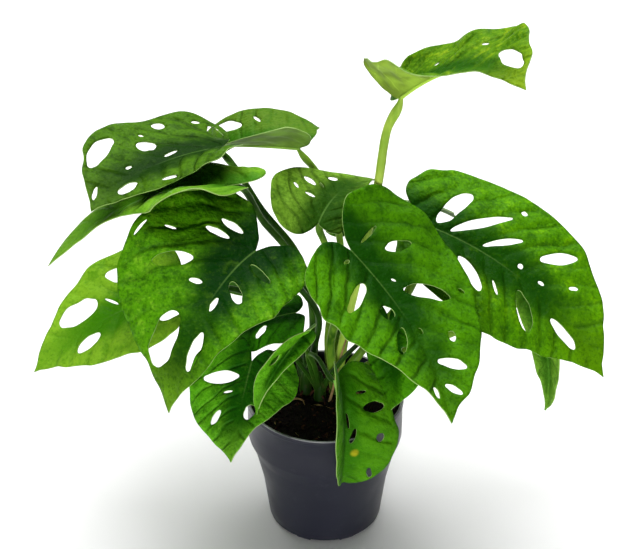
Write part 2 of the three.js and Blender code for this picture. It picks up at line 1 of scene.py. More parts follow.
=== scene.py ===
import bpy
import math
import random
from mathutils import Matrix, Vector, kdtree, noise
from mathutils.geometry import delaunay_2d_cdt


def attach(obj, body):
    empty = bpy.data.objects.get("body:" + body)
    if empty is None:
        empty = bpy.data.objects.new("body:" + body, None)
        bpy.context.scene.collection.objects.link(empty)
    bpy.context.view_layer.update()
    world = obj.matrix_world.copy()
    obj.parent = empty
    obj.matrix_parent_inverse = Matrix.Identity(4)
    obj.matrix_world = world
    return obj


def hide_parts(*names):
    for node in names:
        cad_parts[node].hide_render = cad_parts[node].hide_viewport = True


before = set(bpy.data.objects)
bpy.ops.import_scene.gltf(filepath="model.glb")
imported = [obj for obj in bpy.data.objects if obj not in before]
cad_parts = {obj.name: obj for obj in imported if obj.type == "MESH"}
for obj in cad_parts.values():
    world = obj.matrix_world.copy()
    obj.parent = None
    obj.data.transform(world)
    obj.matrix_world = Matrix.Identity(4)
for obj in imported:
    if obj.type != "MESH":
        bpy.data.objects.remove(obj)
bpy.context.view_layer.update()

rng = random.Random(7)
MM = 0.001

# ------------------------------------------------------------------ camera
IMAGE_WIDTH = 640
FOCAL_PIXELS = 1511
CAMERA_AT = (-4, -950, 802.8)
CAMERA_DOWN = 31.5

camera = bpy.data.objects.new("camera", bpy.data.cameras.new("camera"))
bpy.context.collection.objects.link(camera)
camera.data.sensor_width = 36
camera.data.lens = 36 * FOCAL_PIXELS / IMAGE_WIDTH
camera.data.clip_start = 0.01
camera.location = Vector(CAMERA_AT) * MM
camera.rotation_euler = (math.radians(90 - CAMERA_DOWN), 0, 0)
bpy.context.scene.camera = camera

# ------------------------------------------------------------- dimensions
POT_HEIGHT, LIP_RADIUS, LIP_HEIGHT = 112, 61, 4
BAND_BOTTOM, BAND_RADIUS = 78, 60.2
STEP_BOTTOM, STEP_RADIUS = 66, 55.2
MIDDLE_HEIGHT, MIDDLE_RADIUS = 38, 49.2
BASE_RADIUS = 44.4
WALL, FLOOR = 1.7, 2.6
SOIL_TOP, SOIL_EDGE = 105, 103.4
STEM_DEPTH = 18
FOOT_SLOTS, FOOT_SLOT, FOOT_SLOT_AT = 8, (23, 12, 4.6), 42
DRAIN_HOLES, DRAIN_RADIUS, DRAIN_AT = 4, 4, 26
BLADE_THICKNESS = 0.7
SPINE_STEPS = 24
VEIN_SWEEP = 0.42  # how far the side veins run towards the tip
NET = 2.3  # side of the triangles that a blade is made of
NET_ROW = 0.87  # distance between two rows of them, as a share of that side
RAGGED = 2.4  # how far a margin strays from its even outline
RIB_END = 0.93  # share of the length at which the rib under the midrib ends
# Distance between side veins, height of the swells between them, height of the
# wave towards the margin and radius of the rib, for a long leaf and a short one.
LONG_FROM = 100
LONG_LEAF = dict(spacing=19, bulge=2.0, ripple=6, rib_radius=1.35)
SHORT_LEAF = dict(spacing=13, bulge=1.3, ripple=4, rib_radius=1.0)

# Half outline of a leaf: share of the length (of the lobe when negative)
# against share of the half width, from the base to the tip.
HALF_OUTLINE = [
    (0, 0), (-0.55, 0.1), (-1, 0.34), (-0.85, 0.66), (-0.28, 0.9), (0.13, 1),
    (0.3, 0.985), (0.46, 0.87), (0.62, 0.67), (0.76, 0.44), (0.87, 0.22),
    (0.945, 0.075), (1, 0),
]


def leaf(name, stem, **values):
    plain = dict(nape=0, unfold=1, waist=(0, 0), wave=(0, 0, 1, 0), holes=())
    return {**plain, "name": name, "stem": stem, **values}


# Lengths are in millimetres, turns in degrees. Pairs are base and tip (heading,
# pitch, roll) or left and right half (width, lobe, curl, waist).
# lobe: how far a half reaches back behind the base. nape: how much it bends there.
# fold: rise of the left half at base and tip, then of the right half.
# unfold: how soon the fold changes from base to tip.
# curl: bend of a half from the midrib to its margin.
# waist: how much a half narrows between its widest place and the tip.
# wave: swing of the left and right margin, its period and its start.
# via: points on the stalk.
# holes: (u1, v1, u2, v2, width), u along the midrib, v across it, left positive.
# look: colours of the blade's sides, its heart and its tip, and the share of the
# length from which the tip's colour takes over. The dark heart is partly painted shade
# and the tip's colour partly painted light. Some leaves also have their own
# gloss, underside, stalk, spot (u, v, radius, colour), bulge or ripple.
LEAVES = [
    leaf(
        "leaf_front_left", "stem_left", base=(-49, -37, 263), heading=(241, 231), pitch=(7, -78),
        roll=(-23, 8), length=143, width=(45, 77), lobe=(24, 29), fold=(8, 0, 10, 0),
        curl=(-17, -12), nape=20, waist=(0.15, -0.1),
        via=[(-9, 4, 150), (-5, -3, 185), (-18, -12, 215), (-36, -28, 243)],
        holes=[
            (13, -36, 9, -19, 6), (0, -33, -4, -16, 8), (51, -52, 38, -28, 10), (39, 5, 52, 19, 8),
            (17, 7, 24, 26, 7), (76, -18, 115, -19, 21), (82, 7, 109, 8, 9), (52, -21, 50, -12, 4),
            (55, 3.5, 66, 4, 4.5), (42, -73, 31, -71, 2), (28, -59, 26, -51, 2),
        ],
        look=dict(bright=(75, 138, 9), dark=(8, 50, 4), tip=(122, 178, 34), tip_from=0.7),
    ),
    leaf(
        "leaf_front_right", "stem_right", base=(18, -35, 262), heading=(-27, -82), pitch=(-40, -25),
        roll=(9, -21), length=146, width=(70, 63), lobe=(30, 18), fold=(13, 12, 12, 16),
        curl=(-17, -14), nape=14,
        via=[(4, 2, 157), (12, -16, 207)],
        holes=[
            (37, -44, 25, -15, 11), (50, -20, 55, -8, 12), (68, -10, 89, -25, 8),
            (15, 22, 22, 42, 7), (44, 12, 62, 40, 11), (82, 25, 89, 23, 6), (99, 5, 107, 24, 8),
            (117, 3, 125, 13, 6), (119, -8, 128, -7, 5), (3, -17, 4, -10, 3), (1, 10, 0, 29, 3),
            (33, 9, 36, 11, 2), (60, 51, 63, 55, 3), (72, 4, 77, 4, 3),
        ],
        look=dict(bright=(73, 136, 6), dark=(20, 68, 4), tip=(86, 150, 8), tip_from=0.6),
    ),
    leaf(
        "leaf_far_right", "stem_right", base=(83, 32, 241), heading=(-13, -34), pitch=(-18, -53),
        roll=(21, 35), length=172, width=(64, 62), lobe=(32, 25), fold=(14, 8, 14, 6),
        curl=(-28, -8), waist=(-0.12, -0.08),
        via=[(34, 18, 149), (62, 24, 188), (74, 30, 218)],
        holes=[
            (-1, 6, 14, 41, 12), (11, 4, 45, 38, 7), (37, 5, 59, 26, 5), (77, 22, 96, 43, 8),
            (24, -17, 51, -33, 12), (77, -11, 103, -30, 13), (111, -8, 140, -8, 9),
            (49, 47, 53, 49, 4), (66, 7, 70, 8, 4), (85, 7, 90, 8, 3), (105, 20, 110, 25, 3),
            (56, -18, 65, -26, 3),
        ],
        look=dict(bright=(73, 132, 5), dark=(23, 71, 4), tip=(112, 172, 4), tip_from=0.6),
    ),
    leaf(
        "leaf_low_left", "stem_left", base=(-122, 1, 203), heading=(190, 192), pitch=(-16, -44),
        roll=(-15, -17), length=116, width=(47, 53), lobe=(20, 20), fold=(10, 4, 14, 8),
        curl=(-10, -10), nape=10,
        via=[(-26, 30, 140), (-48, 46, 168), (-84, 32, 190)],
        holes=[
            (35, -35, 16, -25, 12), (80, -18, 48, -17, 19), (74, 16, 53, 12, 12),
            (5, 25, -14, 24, 13), (41, -16, 33, -6, 2),
        ],
        look=dict(bright=(123, 173, 36), dark=(61, 126, 8), tip=(137, 186, 43), tip_from=0.5),
    ),
    leaf(
        "leaf_top", "stem_right", base=(51, 20, 354), heading=(-42, -77), pitch=(46, 1),
        roll=(-9, 14), length=163, width=(43, 39), lobe=(18, 5), fold=(43, 20, 62, -9),
        curl=(5, 30), nape=-18, unfold=5.5, waist=(-0.45, 0.68), wave=(2, 5, 74, 22.5),
        via=[(15, 15, 157), (27, 19, 222), (38, 19, 285), (44, 20, 330)],
        holes=[(101, 16, 137, 9, 12), (67, 29, 73, 29, 3), (29, 20, 33, 17, 4)],
        look=dict(bright=(88, 134, 15), dark=(38, 88, 5), tip=(152, 182, 28), tip_from=0.66,
                  under=(150, 184, 60), stalk="bright"),
    ),
    leaf(
        "leaf_upper_left", "stem_back_left", base=(-75, 36, 308), heading=(192, 252),
        pitch=(-4, -6), roll=(12, -13), length=122, width=(50, 66), lobe=(12, 8),
        fold=(12, 12, -2, 16), curl=(0, 0), unfold=3, wave=(0, 5.5, 72, -9),
        via=[(-8, 30, 142), (-11, 34, 186), (-23, 38, 219), (-48, 40, 254), (-66, 39, 288)],
        holes=[
            (90, -24, 62, -40, 12), (33, -48, 27, -49, 11), (52, -25, 40, -23, 14),
            (11, -49, 9, -46, 5), (97, 9, 79, 10, 11), (67, 27, 57, 37, 6), (1, -48, -1, -25, 9),
            (42, -5, 31, -8, 3.5), (44, -41, 42, -38, 3), (72, -8, 67, -8, 3),
            (112, -4, 100, -9, 3),
        ],
        look=dict(bright=(69, 111, 17), dark=(21, 52, 6), tip=(85, 128, 25), tip_from=0.7),
    ),
    leaf(
        "leaf_upper_back", "stem_back_right", base=(-18, 65, 293), heading=(163, 107),
        pitch=(-4, -40), roll=(18, -46), length=141, width=(44, 47), lobe=(12, 5),
        fold=(35, 10, 27, 26), curl=(-16, -30),
        via=[(10, 35, 176), (12, 42, 217), (7, 48, 244), (3, 54, 256), (-7, 62, 274)],
        holes=[(99, -18, 66, -18, 10), (61, -30, 50, -25, 2.5)],
        look=dict(bright=(82, 119, 28), dark=(49, 101, 12), tip=(89, 124, 36), tip_from=0.6,
                  under=(112, 150, 52), ripple=0.5, bulge=1),
    ),
    leaf(
        "leaf_center", "stem_back_right", base=(-5, -3, 266), heading=(70, 39), pitch=(25, -23),
        roll=(29, -22), length=82, width=(44, 20), lobe=(18, 3), fold=(11, 8, 9, 10), curl=(-6, -6),
        via=[(2, 24, 144), (5, 12, 200), (0, 4, 243)],
        holes=[
            (31, 28, 28, 17, 5), (43, 16, 48, 11, 6), (20, 30, 17, 25, 2.5), (17, 19, 18, 11, 2.5),
            (33, 16, 30, 11, 2),
        ],
        look=dict(bright=(102, 144, 36), dark=(36, 74, 8), tip=(120, 162, 52), tip_from=0.66,
                  gloss=0.6),
    ),
    leaf(
        "leaf_arched_left", "stem_back_left", base=(-72, -14, 302), heading=(172, 210),
        pitch=(-1, -43), roll=(0, 14), length=142, width=(42, 44), lobe=(20, 26),
        fold=(31, -12, 17, 5), curl=(-15, -45), waist=(0.5, 0.3), wave=(4, 4, 70, 79.5),
        via=[(-11, 29, 178), (-28, 27, 225), (-46, 24, 252), (-60, 12, 286)],
        holes=[(34, -14, 48, -24, 7), (66, -12, 82, -19, 6)],
        look=dict(bright=(104, 156, 32), dark=(60, 118, 18), tip=(124, 172, 52), tip_from=0.55),
    ),
    leaf(
        "leaf_over_rim_left", "stem_front", base=(-54, -37, 169), heading=(257, 261),
        pitch=(-24, -34), roll=(-2, 38), length=81, width=(38, 47), lobe=(12, 20),
        fold=(-5, 10, 0, 7), curl=(-30, -20), nape=10, waist=(0.15, -0.1),
        via=[(-17, -2, 138), (-31, -12, 161)],
        holes=[(16, -34, 14, -7, 9), (41, -16, 51, -22, 6), (37, 8, 49, 8, 9),
               (27, -16, 26, -9, 2)],
        look=dict(bright=(92, 172, 24), dark=(27, 88, 7), tip=(128, 198, 46), tip_from=0.66),
    ),
    leaf(
        "leaf_folded_small", "stem_front", base=(-17, -52, 201), heading=(227, 217),
        pitch=(-22, -72), roll=(-83, -21), length=67, width=(10, 20), lobe=(8, 10),
        fold=(70, 70, 50, 35), curl=(0, 0),
        via=[(-8, -4, 140), (-14, -20, 166)],
        holes=[(30, -10, 22, -11, 5)],
        look=dict(bright=(90, 162, 22), dark=(38, 98, 11), tip=(110, 180, 38), tip_from=0.6),
    ),
    leaf(
        "leaf_hanging_right", "stem_right", base=(160, 44, 176), heading=(-64, -70),
        pitch=(-35, -104), roll=(80, 56), length=102, width=(30, 16), lobe=(12, 12),
        fold=(33, 33, 70, 80), curl=(0, 0),
        via=[(39, 20, 128), (78, 28, 140), (118, 37, 154), (142, 42, 164)],
        look=dict(bright=(116, 168, 48), dark=(64, 120, 26), tip=(130, 186, 56), tip_from=0.6),
    ),
    leaf(
        "leaf_over_rim_right", "stem_front", base=(8, -62, 171), heading=(-71, -94),
        pitch=(-45, -141), roll=(-26, 2), length=113, width=(42, 22), lobe=(10, 10),
        fold=(12, 14, 62, 72), curl=(-24, -34), waist=(-0.3, 0),
        via=[(-11, -3, 138), (-13, -13, 158), (-5, -38, 171)],
        holes=[
            (25, 17, 27, 35, 8), (49, 25, 51, 31, 7), (76, 19, 88, 20, 4), (50, 5, 39, 9, 4),
            (13, 13, 13, 22, 2.5), (26, 3, 38, 4, 2),
        ],
        look=dict(bright=(72, 134, 10), dark=(44, 102, 5), tip=(82, 144, 18), tip_from=0.7,
                  under=(104, 158, 56), spot=(59, 8, 4.2, (158, 156, 26)), ripple=2, bulge=1),
    ),
    leaf(
        "leaf_under_right", "stem_front", base=(45, -45, 211), heading=(-87, -87), pitch=(-40, -86),
        roll=(19, 52), length=68, width=(40, 20), lobe=(14, 14), fold=(8, 6, 7, 4), curl=(-15, -17),
        via=[(12, -10, 150), (33, -30, 188)],
        holes=[(22, 10, 30, 24, 6)],
        look=dict(bright=(65, 132, 8), dark=(14, 61, 2), tip=(75, 143, 10), tip_from=0.7),
    ),
    leaf(
        "leaf_inner_left", "stem_left", base=(-23, 8, 182), heading=(186, 204), pitch=(-6, -40),
        roll=(-6, -2), length=78, width=(30, 26), lobe=(7, 7), fold=(5, 0, 5, 0), curl=(-15, -15),
        nape=5,
        via=[(-16, 12, 150)],
        holes=[(24, 7, 34, 16, 6), (22, -8, 32, -18, 6)],
        look=dict(bright=(63, 142, 13), dark=(14, 63, 3), tip=(63, 142, 13), tip_from=0.7),
    ),
    leaf(
        "leaf_back_right", "stem_back_right", base=(31, 60, 228), heading=(50, 21), pitch=(12, -43),
        roll=(-22, -11), length=105, width=(40, 42), lobe=(20, 20), fold=(10, 5, 10, 5),
        curl=(-15, -15), nape=5,
        via=[(14, 36, 165), (24, 50, 200)],
        holes=[(24, 10, 34, 24, 7), (50, 8, 60, 19, 7), (26, -10, 36, -25, 7),
               (52, -8, 62, -18, 6)],
        look=dict(bright=(66, 112, 22), dark=(34, 76, 10), tip=(80, 126, 30), tip_from=0.6),
    ),
    leaf(
        "leaf_back_left", "stem_back_left", base=(-50, 88, 158), heading=(116, 132), pitch=(4, -52),
        roll=(8, 2), length=110, width=(42, 40), lobe=(20, 20), fold=(10, 5, 10, 5),
        curl=(-15, -15), nape=5,
        via=[(-16, 40, 132), (-32, 66, 146)],
        holes=[(24, 10, 35, 25, 7), (52, 9, 64, 20, 7), (27, -10, 38, -25, 7),
               (56, -8, 68, -18, 6)],
        look=dict(bright=(56, 104, 16), dark=(26, 66, 8), tip=(66, 116, 22), tip_from=0.7),
    ),
]

STEMS = {
    "stem_left": dict(foot=(-15, 12), thick=2.9, thin=2.2, green="deep"),
    "stem_right": dict(foot=(8, 12), thick=3.6, thin=3.3, green="fresh"),
    "stem_back_left": dict(foot=(-12, 27), thick=3, thin=2.4, green="mid"),
    "stem_back_right": dict(foot=(5, 27), thick=3, thin=2.5, green="fresh"),
    "stem_front": dict(foot=(-4, 4), thick=2.6, thin=1.6, green="deep"),
}
CROWN_ROOTS = 3
# A stem's foot: radius and height over the soil.
CROWN = [(3.2, -16), (4.4, -13), (4.8, 0), (4.9, 2), (4.6, 5), (4.5, 6), (4.4, 10),
         (4.0, 14), (3.3, 18), (2.2, 22), (0.9, 25)]
# The withered stalk of a leaf that is gone.
DRY_STALK = [(3, 0, 103), (6.5, -3, 121), (9.2, -5, 138), (12.2, -6, 153), (17, -8, 174)]
# Roots that lie bare on the soil: the middle of each and its turn in radians.
BARE_ROOTS = [(-21, 1, -0.2), (-6, -5, 0.1), (24, 8, 0.6), (-30, 18, 1.2)]
# Light and dark colour of each kind of stalk, and the pale colour of the painted sheen at its
# sides.
STALK_GREENS = {
    "bright": ((186, 212, 88), (140, 178, 56), (196, 216, 112)),
    "fresh": ((120, 160, 46), (50, 94, 16), (162, 194, 80)),
    "mid": ((62, 104, 24), (26, 60, 8), (104, 146, 56)),
    "deep": ((40, 78, 12), (12, 42, 3), (92, 134, 46)),
}


# --------------------------------------------------------------- materials
def linear(rgb):
    """A screen colour of 0 to 255 as the shader's linear colour."""
    return tuple((c / 255 / 12.92) if c / 255 <= 0.04045 else ((c / 255 + 0.055) / 1.055) ** 2.4
                 for c in rgb) + (1.0,)


class Finish:
    """A small helper that builds one procedural material."""

    def __init__(self, name):
        self.material = bpy.data.materials.new(name)
        self.material.use_nodes = True
        self.nodes = self.material.node_tree.nodes
        self.links = self.material.node_tree.links
        self.shader = self.nodes["Principled BSDF"]
        self.place = self.node("TexCoord").outputs["Object"]

    def node(self, kind, inputs=None, **settings):
        """A new node with these settings and inputs."""
        node = self.nodes.new("ShaderNode" + kind)
        for key, value in settings.items():
            setattr(node, key, value)
        self.fill(node, inputs or {})
        return node

    def fill(self, node, inputs):
        """Sets each input to its value, or links it where the value is a socket."""
        for socket, value in inputs.items():
            if isinstance(value, bpy.types.NodeSocket):
                self.links.new(value, node.inputs[socket])
            else:
                node.inputs[socket].default_value = value

    def math(self, operation, a, b=0.0):
        return self.node("Math", {0: a, 1: b}, operation=operation).outputs[0]

    def plus(self, a, b):
        return self.math("ADD", a, b)

    def minus(self, a, b):
        return self.math("SUBTRACT", a, b)

    def times(self, a, b):
        return self.math("MULTIPLY", a, b)

    def ramp(self, value, low, high, to_low=0.0, to_high=1.0):
        inputs = {"Value": value, "From Min": low, "From Max": high,
                  "To Min": to_low, "To Max": to_high}
        return self.node("MapRange", inputs, interpolation_type="SMOOTHSTEP").outputs["Result"]

    def noise(self, scale, detail=2.0, rough=0.5, place=None):
        inputs = {"Vector": place or self.place, "Scale": scale, "Detail": detail,
                  "Roughness": rough}
        return self.node("TexNoise", inputs).outputs["Fac"]

    def cells(self, scale):
        return self.node("TexVoronoi", {"Vector": self.place, "Scale": scale}).outputs["Distance"]

    def mix(self, factor, a, b):
        """Mixes two colours: inputs 6 and 7 and output 2 of the node are its colours."""
        return self.node("Mix", {0: factor, 6: a, 7: b}, data_type="RGBA").outputs[2]

    def height(self):
        return self.node("SeparateXYZ", {0: self.place}).outputs["Z"]

    def attribute(self, name):
        return self.node("Attribute", attribute_name=name).outputs["Fac"]

    def bump(self, height, strength, distance):
        inputs = {"Height": height, "Strength": strength, "Distance": distance}
        self.fill(self.shader, {"Normal": self.node("Bump", inputs).outputs[0]})

    def finish(self, color, roughness, specular):
        self.fill(self.shader, {"Base Color": color, "Roughness": roughness,
                                "Specular IOR Level": specular})
        return self.material


def leaf_pattern(f, spacing, width):
    """Midrib, side veins and the fields between them, from the leaf's own u and v."""
    u = f.attribute("along")
    v = f.attribute("across")
    size = f.math("ABSOLUTE", v)
    wobble = f.times(f.minus(f.noise(26), 0.5), 24.0)
    sweep = f.times(f.math("POWER", size, 1.15), VEIN_SWEEP)
    stagger = f.times(f.math("GREATER_THAN", v, 0.0), spacing * 0.4)
    start = f.plus(f.minus(u, sweep), f.plus(wobble, stagger))
    beat = f.math("PINGPONG", f.math("DIVIDE", start, spacing), 0.5)
    reach = f.times(f.ramp(size, 1.0, 6.0), f.ramp(size, width, width * 0.8))
    reach = f.times(reach, f.ramp(f.noise(20, 1.0), 0.36, 0.62, 0.25, 1.0))
    vein = f.times(f.ramp(beat, 0.045, 0.0), reach)
    groove = f.times(f.ramp(beat, 0.2, 0.0), reach)
    rib = f.ramp(size, 0.9, 0.3)
    return u, size, vein, groove, rib


def blemish(f, color, spot):
    """A round spot that fades out, given by its place on the blade."""
    along, across, radius, tone = spot
    place = f.node("CombineXYZ", {0: f.attribute("along"), 1: f.attribute("across")})
    away = f.node("VectorMath", {0: place.outputs[0], 1: (along, across, 0)},
                  operation="DISTANCE").outputs["Value"]
    return f.mix(f.ramp(away, radius, radius * 0.3), color, linear(tone))


def blade_top(name, look, spacing, length, width):
    """Dark along the midrib and bright outwards, the dark heart partly painted shade; mottled, with
    painted highlights, a tip colour that is partly painted light, and sunk side veins with painted
    shade in their grooves.
    """
    f = Finish(name)
    u, size, vein, groove, rib = leaf_pattern(f, spacing, width)
    bright, dark, tip = (linear(look[k]) for k in ("bright", "dark", "tip"))
    deep = linear(tuple(0.62 * c for c in look["dark"]))
    # Painted shade: the heart along the midrib is dark and the blade brightens outwards and towards
    # the tip, partly the leaf's own tone.
    patch = f.times(f.minus(f.noise(30), 0.5), 0.9)
    along = f.ramp(u, 0.0, length * 0.7, 0.0, 0.35)
    outward = f.plus(f.ramp(size, 1.0, width * 0.62), f.plus(patch, along))
    color = f.mix(f.ramp(outward, 0.2, 1.05), dark, bright)
    mottle = f.noise(95, 3.0, 0.62)
    color = f.mix(f.ramp(mottle, 0.52, 0.3, 0.0, 0.55), color, dark)
    # Painted highlights: bright specks in the tip's colour on the outer parts of the blade.
    painted_highlight = f.ramp(outward, 0.35, 0.95, 0.12, 0.6)
    color = f.mix(f.times(f.ramp(mottle, 0.54, 0.72), painted_highlight), color, tip)
    # Towards the tip the colour turns to the tip's, partly painted light.
    toward = f.ramp(f.plus(u, f.times(f.noise(40, 1.0), 14.0)),
                    length * look["tip_from"], length * 1.05)
    color = f.mix(f.times(toward, 0.55), color, tip)
    # Painted shade in the sunk grooves along the side veins.
    color = f.mix(f.times(groove, 0.38), color, dark)
    color = f.mix(f.times(vein, 0.2), color, deep)
    grain = f.noise(420, 3.0, 0.6)
    color = f.mix(f.ramp(grain, 0.5, 0.34, 0.0, 0.42), color, dark)
    # Finer painted highlights, also in the tip's colour.
    color = f.mix(f.times(f.ramp(grain, 0.54, 0.7, 0.0, 0.5), painted_highlight), color, tip)
    if "spot" in look:
        color = blemish(f, color, look["spot"])
    near_base = f.ramp(u, length * 0.5, length * 0.12, 0.0, 0.45)
    color = f.mix(f.times(rib, near_base), color, linear((104, 146, 66)))
    height = f.minus(f.times(f.noise(190, 3.0, 0.6), 1.5), groove)
    f.bump(height, 0.85, 0.0015)
    gloss = look.get("gloss", 0.42)
    rough = f.ramp(f.noise(90), 0.2, 0.8, gloss - 0.06, gloss + 0.12)
    return f.finish(color, rough, 0.03)


def blade_under(name, look, spacing, width):
    """Paler and duller than the top, with pale veins."""
    f = Finish(name)
    _, _, vein, groove, rib = leaf_pattern(f, spacing, width)
    under = look.get("under") or tuple(0.8 * b + 22 for b in look["bright"])
    color = f.mix(f.ramp(f.noise(60, 3.0), 0.35, 0.7),
                  linear(tuple(0.76 * c for c in under)), linear(under))
    pale = linear(tuple(min(255, c * 1.12 + 18) for c in under))
    color = f.mix(f.times(vein, 0.5), color, pale)
    color = f.mix(f.times(rib, 0.8), color, pale)
    f.bump(f.plus(groove, f.times(f.noise(240), 0.3)), 0.4, 0.0008)
    return f.finish(color, 0.6, 0.1)


def blade_edge():
    f = Finish("leaf_margin")
    # The edge faces are pale: a painted highlight along the margins and the holes' rims.
    color = f.mix(f.noise(80), linear((120, 160, 70)), linear((160, 190, 105)))
    return f.finish(color, 0.5, 0.4)


def stalk_green(name, light, dark, outer):
    """Streaked along the stalk, dark and scarred near the soil, and paler at its sides by a painted
    sheen.
    """
    f = Finish(name)
    stretched = f.node("VectorMath", {0: f.place, 1: (1, 1, 0.12)}, operation="MULTIPLY")
    streak = f.noise(330, place=stretched.outputs[0])
    color = f.mix(f.ramp(f.noise(40), 0.3, 0.7), linear(dark), linear(light))
    color = f.mix(f.ramp(streak, 0.45, 0.7, 0.0, 0.5), color, linear(light))
    root = f.ramp(f.height(), (SOIL_TOP + 34) * MM, (SOIL_TOP + 4) * MM)
    color = f.mix(f.times(root, 0.7), color, linear((20, 42, 8)))
    scar = f.times(f.ramp(f.noise(150, 3.0, 0.7), 0.52, 0.68), root)
    color = f.mix(f.times(scar, 0.6), color, linear((60, 50, 28)))
    # Painted sheen: the colour turns pale where the surface faces away from the view.
    painted_sheen = f.node("LayerWeight", {"Blend": 0.5}).outputs["Facing"]
    color = f.mix(f.ramp(painted_sheen, 0.5, 0.95, 0.0, 0.7), color, linear(outer))
    f.bump(streak, 0.3, 0.0006)
    return f.finish(color, 0.45, 0.12)


def pot_plastic():
    """Dark and matte, with a little dust, scuffs and a painted highlight along the lip."""
    f = Finish("pot_plastic")
    color = f.mix(f.ramp(f.noise(14), 0.3, 0.75), linear((30, 31, 42)), linear((37, 38, 50)))
    dust = f.ramp(f.noise(120, 4.0, 0.7), 0.56, 0.8)
    color = f.mix(f.times(dust, 0.14), color, linear((92, 92, 98)))
    scuff = f.ramp(f.noise(9, 5.0, 0.8), 0.6, 0.72)
    color = f.mix(f.times(scuff, 0.08), color, linear((110, 110, 116)))
    # Painted highlight: the top of the lip is pale all round.
    painted_lip_highlight = f.times(f.ramp(f.height(), (POT_HEIGHT - 0.8) * MM, (POT_HEIGHT - 0.2) * MM),
                   f.ramp(f.noise(60, 3.0), 0.35, 0.6, 0.3, 0.9))
    color = f.mix(painted_lip_highlight, color, linear((168, 168, 172)))
    f.bump(f.noise(900), 0.12, 0.0003)
    rough = f.ramp(f.noise(40, 3.0), 0.3, 0.7, 0.3, 0.42)
    return f.finish(color, rough, 0.25)


def potting_mix():
    f = Finish("soil")
    dry = f.ramp(f.noise(380, 4.0, 0.7), 0.35, 0.8)
    color = f.mix(dry, linear((7, 5, 4)), linear((34, 22, 15)))
    crumb = f.ramp(f.cells(300), 0.25, 0.0)
    color = f.mix(f.times(crumb, 0.35), color, linear((58, 32, 20)))
    f.bump(f.noise(700, 4.0, 0.7), 0.8, 0.0012)
    return f.finish(color, 0.95, 0.15)


def bark_chip():
    f = Finish("bark_chip")
    color = f.mix(f.ramp(f.noise(260, 3.0), 0.35, 0.7), linear((20, 12, 8)), linear((72, 42, 26)))
    f.bump(f.noise(900), 0.5, 0.0006)
    return f.finish(color, 0.9, 0.15)


def root_fibre():
    f = Finish("root_fibre")
    color = f.mix(f.noise(300), linear((96, 74, 38)), linear((168, 142, 96)))
    return f.finish(color, 0.85, 0.2)


# ------------------------------------------------------------------ helpers
def deselect():
    for item in bpy.context.selected_objects:
        item.select_set(False)


def pick(*chosen):
    """Selects these objects alone, the last one active."""
    deselect()
    for made in chosen:
        made.select_set(True)
    bpy.context.view_layer.objects.active = chosen[-1]


def make_object(name, vertices, faces, materials):
    mesh = bpy.data.meshes.new(name)
    mesh.from_pydata([Vector(p) * MM for p in vertices], [], faces)
    mesh.update()
    made = bpy.data.objects.new(name, mesh)
    bpy.context.collection.objects.link(made)
    for material in materials:
        mesh.materials.append(material)
    mesh.polygons.foreach_set("use_smooth", [True] * len(mesh.polygons))
    return made


def apply(made, kind, **settings):
    pick(made)
    modifier = made.modifiers.new(kind.lower(), kind)
    for key, value in settings.items():
        setattr(modifier, key, value)
    bpy.ops.object.modifier_apply(modifier=modifier.name)


def finish_piece(made, slot, *nodes):
    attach(made, "root")
    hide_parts(*nodes)


def add_attribute(made, name, values):
    layer = made.data.attributes.new(name, "FLOAT", "POINT")
    layer.data.foreach_set("value", values)


def face_outwards():
    """Turns all faces of the object in edit mode outwards and leaves edit mode."""
    bpy.ops.mesh.select_all(action="SELECT")
    bpy.ops.mesh.normals_make_consistent(inside=False)
    bpy.ops.object.mode_set(mode="OBJECT")


def between(pair, t):
    return pair[0] + (pair[1] - pair[0]) * t


def clamp(x, low=0.0, high=1.0):
    return max(low, min(high, x))


# ------------------------------------------------------------ leaf surfaces
def direction(heading, pitch):
    """The way that a blade grows, from its heading and pitch in radians."""
    return Vector((math.cos(pitch) * math.cos(heading),
                   math.cos(pitch) * math.sin(heading), math.sin(pitch)))


def spine_of(item):
    """Stations along the midrib: its place, its course, the left side and the top."""
    stations = []
    point = Vector(item["base"])
    for i in range(SPINE_STEPS + 1):
        t = i / SPINE_STEPS
        heading = math.radians(between(item["heading"], t))
        tangent = direction(heading, math.radians(between(item["pitch"], t)))
        level = Vector((-math.sin(heading), math.cos(heading), 0))
        up = tangent.cross(level)
        roll = math.radians(between(item["roll"], t))
        side = level * math.cos(roll) + up * math.sin(roll)
        normal = up * math.cos(roll) - level * math.sin(roll)
        stations.append((point.copy(), tangent, side, normal))
        middle = (i + 0.5) / SPINE_STEPS
        step = direction(math.radians(between(item["heading"], middle)),
                         math.radians(between(item["pitch"], middle)))
        point += step * (item["length"] / SPINE_STEPS)
    return stations


